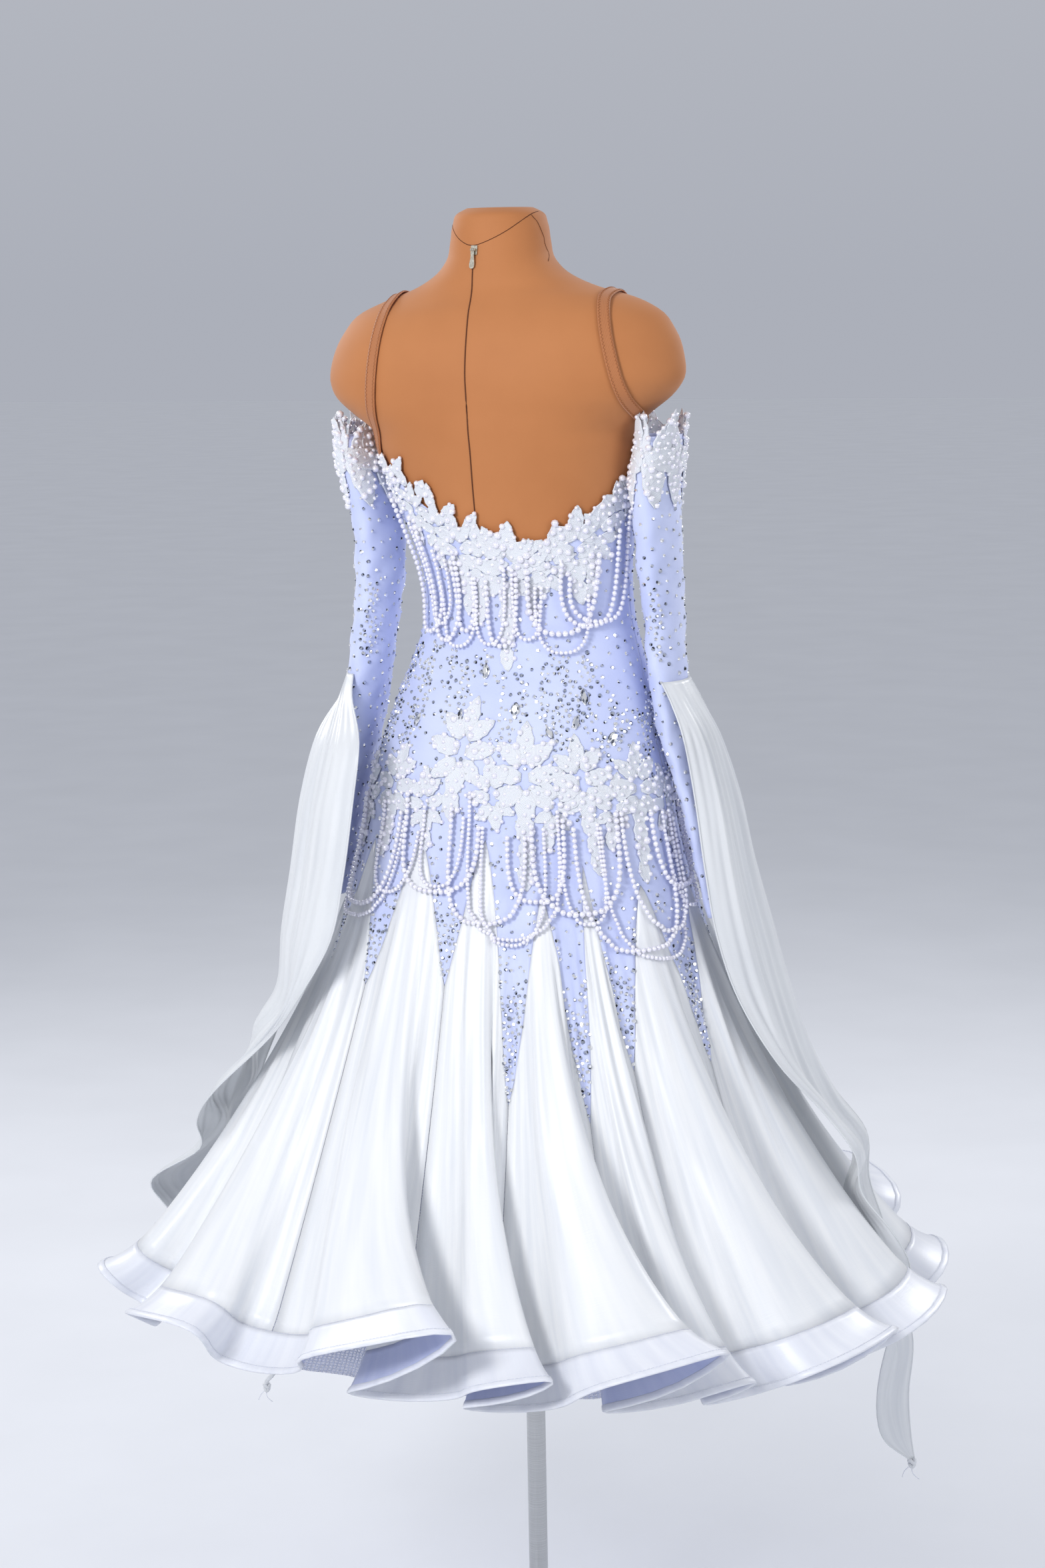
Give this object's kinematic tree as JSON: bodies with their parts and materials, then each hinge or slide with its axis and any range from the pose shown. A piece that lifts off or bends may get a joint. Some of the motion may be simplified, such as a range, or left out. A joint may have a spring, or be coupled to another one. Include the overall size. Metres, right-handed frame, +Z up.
{
  "type": "ballroom dress on dress form stand",
  "caption": "Long off-shoulder ballroom dance dress with a flared godet skirt, sleeves, floats, lace and pearl swags, on a limbless dress form with pole and round base.",
  "frame": {"origin": "centre of the base's underside, on the pole's axis", "axes": "+Z up along the pole; -Y towards the wearer's front; -X towards the wearer's right"},
  "size_m": [0.9768, 0.9838, 1.7],
  "materials": {
    "form_cover": "warm tan stretch cover, matte",
    "brushed_steel": "brushed steel tube and plate",
    "zip_metal": "bright zip metal",
    "nude_elastic": "nude elastic, matte",
    "blue_crepe": "pale lavender blue stretch crepe",
    "white_satin": "cool white satin chiffon",
    "hem_band_satin": "cool white satin over stiff braid",
    "stiff_tulle": "pale stiff tulle",
    "white_lace": "white corded lace",
    "pearl": "pearl gloss"
  },
  "bodies": {
    "dress_on_form": {"form_torso": "form_cover", "pole": "brushed_steel", "base": "brushed_steel", "zip_slider": "zip_metal", "strap_left": "nude_elastic", "strap_right": "nude_elastic", "body_back": "blue_crepe", "body_front": "blue_crepe", "hem_band": "hem_band_satin", "petticoat": "stiff_tulle", "sleeve_left": "blue_crepe", "sleeve_right": "blue_crepe", "float_left": "white_satin", "float_right": "white_satin", "lace_neck_back": "white_lace", "lace_neck_front": "white_lace", "lace_hip_back": "white_lace", "lace_hip_front": "white_lace", "lace_cap_left": "white_lace", "lace_cap_right": "white_lace", "swag_body_back": "pearl", "swag_hip_upper_back": "pearl", "swag_hip_lower_back": "pearl", "swag_hip_upper_front": "pearl", "swag_hip_lower_front": "pearl", "godet_01": "white_satin", "godet_02": "white_satin", "godet_03": "white_satin", "godet_04": "white_satin", "godet_05": "white_satin", "godet_06": "white_satin", "godet_07": "white_satin", "godet_08": "white_satin", "godet_09": "white_satin", "godet_10": "white_satin", "godet_11": "white_satin", "godet_12": "white_satin", "godet_13": "white_satin", "godet_14": "white_satin"},
    "zip_pull_tab": {"zip_pull": "zip_metal"}
  },
  "joints": [
    {"name": "zip_pull_swing", "type": "hinge", "parent": "dress_on_form", "child": "zip_pull_tab", "pos_m": [0.02601, 0.06412, 1.65461], "axis": [0.9847, -0.1745, 0], "range_deg": [0, 140]}
  ]
}
